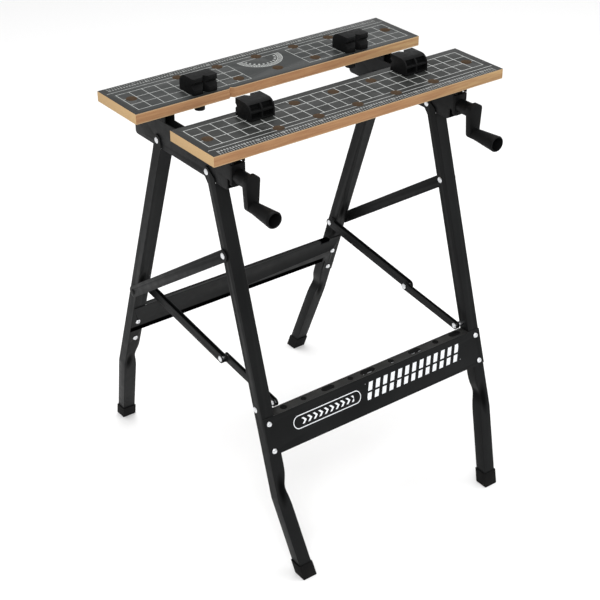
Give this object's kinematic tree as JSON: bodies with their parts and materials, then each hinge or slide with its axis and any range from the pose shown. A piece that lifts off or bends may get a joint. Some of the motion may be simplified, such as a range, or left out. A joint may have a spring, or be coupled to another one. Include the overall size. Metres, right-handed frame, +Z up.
{
  "type": "folding clamping workbench",
  "caption": "Folding workbench with two wooden jaw boards on steel rails, crank screws, peg dogs, braced folding legs and a tool rack.",
  "frame": {"origin": "middle of the footprint, on the floor, with the legs open", "axes": "+X along the jaw boards to the right, -Y towards the side with the cranks, +Z up"},
  "size_m": [0.616, 0.639, 0.803],
  "materials": {
    "board": "printed dark grey top with a fine pale grid, bare tan fibreboard edges",
    "black_steel": "satin black powder coat",
    "black_plastic": "moulded black plastic, fine texture",
    "foot_rubber": "matt black",
    "zinc_hardware": "bright zinc plate",
    "screw_steel": "oiled bare steel"
  },
  "bodies": {
    "base": {"jaw_board_rear": "board", "rail_left": "black_steel", "rail_right": "black_steel", "board_bracket_left": "black_steel", "board_bracket_right": "black_steel", "screw_bearing_left": "black_plastic", "screw_bearing_right": "black_plastic"},
    "front_jaw": {"jaw_board_front": "board", "jaw_carriage_left": "black_steel", "jaw_carriage_right": "black_steel"},
    "crank_left": {"clamp_screw_left": "screw_steel", "crank_handle_left": "black_plastic"},
    "crank_right": {"clamp_screw_right": "screw_steel", "crank_handle_right": "black_plastic"},
    "front_frame": {"tool_rack": "black_steel", "front_leg_left": "black_steel", "front_leg_right": "black_steel", "foot_cap_front_left": "foot_rubber", "foot_cap_front_right": "foot_rubber", "leg_pivot_front_left": "zinc_hardware", "leg_pivot_front_right": "zinc_hardware", "link_rivet_front_left": "zinc_hardware", "link_rivet_front_right": "zinc_hardware", "stay_pin_front_left": "zinc_hardware", "stay_pin_front_right": "zinc_hardware", "rack_bolt_upper_left": "zinc_hardware", "rack_bolt_upper_right": "zinc_hardware", "rack_bolt_lower_left": "zinc_hardware", "rack_bolt_lower_right": "zinc_hardware"},
    "rear_frame": {"rear_cross_panel": "black_steel", "rear_leg_left": "black_steel", "rear_leg_right": "black_steel", "foot_cap_rear_left": "foot_rubber", "foot_cap_rear_right": "foot_rubber", "leg_pivot_rear_left": "zinc_hardware", "leg_pivot_rear_right": "zinc_hardware", "stay_pin_rear_left": "zinc_hardware", "stay_pin_rear_right": "zinc_hardware", "panel_bolt_upper_left": "zinc_hardware", "panel_bolt_upper_right": "zinc_hardware", "panel_bolt_lower_left": "zinc_hardware", "panel_bolt_lower_right": "zinc_hardware"},
    "link_left": {"link_bar_left": "black_steel", "link_rivet_rear_left": "black_steel"},
    "upper_stay_left": {"stay_upper_left": "black_steel", "stay_rivet_outer_left": "zinc_hardware"},
    "lower_stay_left": {"stay_lower_left": "black_steel", "stay_rivet_inner_left": "zinc_hardware"},
    "link_right": {"link_bar_right": "black_steel", "link_rivet_rear_right": "black_steel"},
    "upper_stay_right": {"stay_upper_right": "black_steel", "stay_rivet_outer_right": "zinc_hardware"},
    "lower_stay_right": {"stay_lower_right": "black_steel", "stay_rivet_inner_right": "zinc_hardware"},
    "dog_front_left": {"bench_dog_front_left": "black_plastic"},
    "dog_front_right": {"bench_dog_front_right": "black_plastic"},
    "dog_rear_left": {"bench_dog_rear_left": "black_plastic"},
    "dog_rear_right": {"bench_dog_rear_right": "black_plastic"}
  },
  "joints": [
    {"name": "front_fold", "type": "hinge", "parent": "base", "child": "front_frame", "pos_m": [0, -0.07751, 0.701], "axis": [1, 0, 0], "range_deg": [0, 100]},
    {"name": "rear_fold", "type": "hinge", "parent": "base", "child": "rear_frame", "pos_m": [0, 0.07299, 0.702], "axis": [1, 0, 0], "range_deg": [0, 67]},
    {"name": "link_swing_left", "type": "hinge", "parent": "front_frame", "child": "link_left", "pos_m": [-0.25515, -0.12351, 0.568], "axis": [1, 0, 0], "range_deg": [-67.1, 0]},
    {"name": "upper_stay_swing_left", "type": "hinge", "parent": "rear_frame", "child": "upper_stay_left", "pos_m": [-0.2212, 0.18399, 0.356], "axis": [1, 0, 0], "range_deg": [-73.3, 0]},
    {"name": "lower_stay_swing_left", "type": "hinge", "parent": "front_frame", "child": "lower_stay_left", "pos_m": [-0.2129, -0.20351, 0.3055], "axis": [1, 0, 0], "range_deg": [0, 66.8]},
    {"name": "link_swing_right", "type": "hinge", "parent": "front_frame", "child": "link_right", "pos_m": [0.24415, -0.12351, 0.568], "axis": [1, 0, 0], "range_deg": [-67.1, 0]},
    {"name": "upper_stay_swing_right", "type": "hinge", "parent": "rear_frame", "child": "upper_stay_right", "pos_m": [0.2102, 0.18399, 0.356], "axis": [1, 0, 0], "range_deg": [-73.3, 0]},
    {"name": "lower_stay_swing_right", "type": "hinge", "parent": "front_frame", "child": "lower_stay_right", "pos_m": [0.2019, -0.20351, 0.3055], "axis": [1, 0, 0], "range_deg": [0, 66.8]},
    {"name": "crank_turn_left", "type": "hinge", "parent": "base", "child": "crank_left", "pos_m": [-0.24, -0.18601, 0.719], "axis": [0, 1, 0], "range_deg": [-721, 7561]},
    {"name": "crank_turn_right", "type": "hinge", "parent": "base", "child": "crank_right", "pos_m": [0.229, -0.18601, 0.719], "axis": [0, 1, 0], "range_deg": [-721, 7561]},
    {"name": "jaw_slide", "type": "slide", "parent": "base", "child": "front_jaw", "axis": [0, 1, 0], "range_m": [-0.008, 0.084]},
    {"name": "dog_swivel_front_left", "type": "hinge", "parent": "front_jaw", "child": "dog_front_left", "pos_m": [-0.1535, -0.07501, 0.774], "axis": [0, 0, 1], "continuous": true},
    {"name": "dog_swivel_front_right", "type": "hinge", "parent": "front_jaw", "child": "dog_front_right", "pos_m": [0.1725, -0.07501, 0.774], "axis": [0, 0, 1], "continuous": true},
    {"name": "dog_swivel_rear_left", "type": "hinge", "parent": "base", "child": "dog_rear_left", "pos_m": [-0.1665, 0.06899, 0.774], "axis": [0, 0, 1], "continuous": true},
    {"name": "dog_swivel_rear_right", "type": "hinge", "parent": "base", "child": "dog_rear_right", "pos_m": [0.1595, 0.06899, 0.774], "axis": [0, 0, 1], "continuous": true}
  ],
  "couplings": [
    {"joint": "rear_fold", "follows": "front_fold", "ratio": 0.66927},
    {"joint": "link_swing_left", "follows": "front_fold", "ratio": -0.66993},
    {"joint": "upper_stay_swing_left", "follows": "front_fold", "ratio": -0.73157},
    {"joint": "lower_stay_swing_left", "follows": "front_fold", "ratio": 0.66717},
    {"joint": "link_swing_right", "follows": "front_fold", "ratio": -0.66993},
    {"joint": "upper_stay_swing_right", "follows": "front_fold", "ratio": -0.73157},
    {"joint": "lower_stay_swing_right", "follows": "front_fold", "ratio": 0.66717},
    {"joint": "crank_turn_left", "follows": "jaw_slide", "rad_per_m": 1570.8},
    {"joint": "crank_turn_right", "follows": "jaw_slide", "rad_per_m": 1570.8}
  ]
}
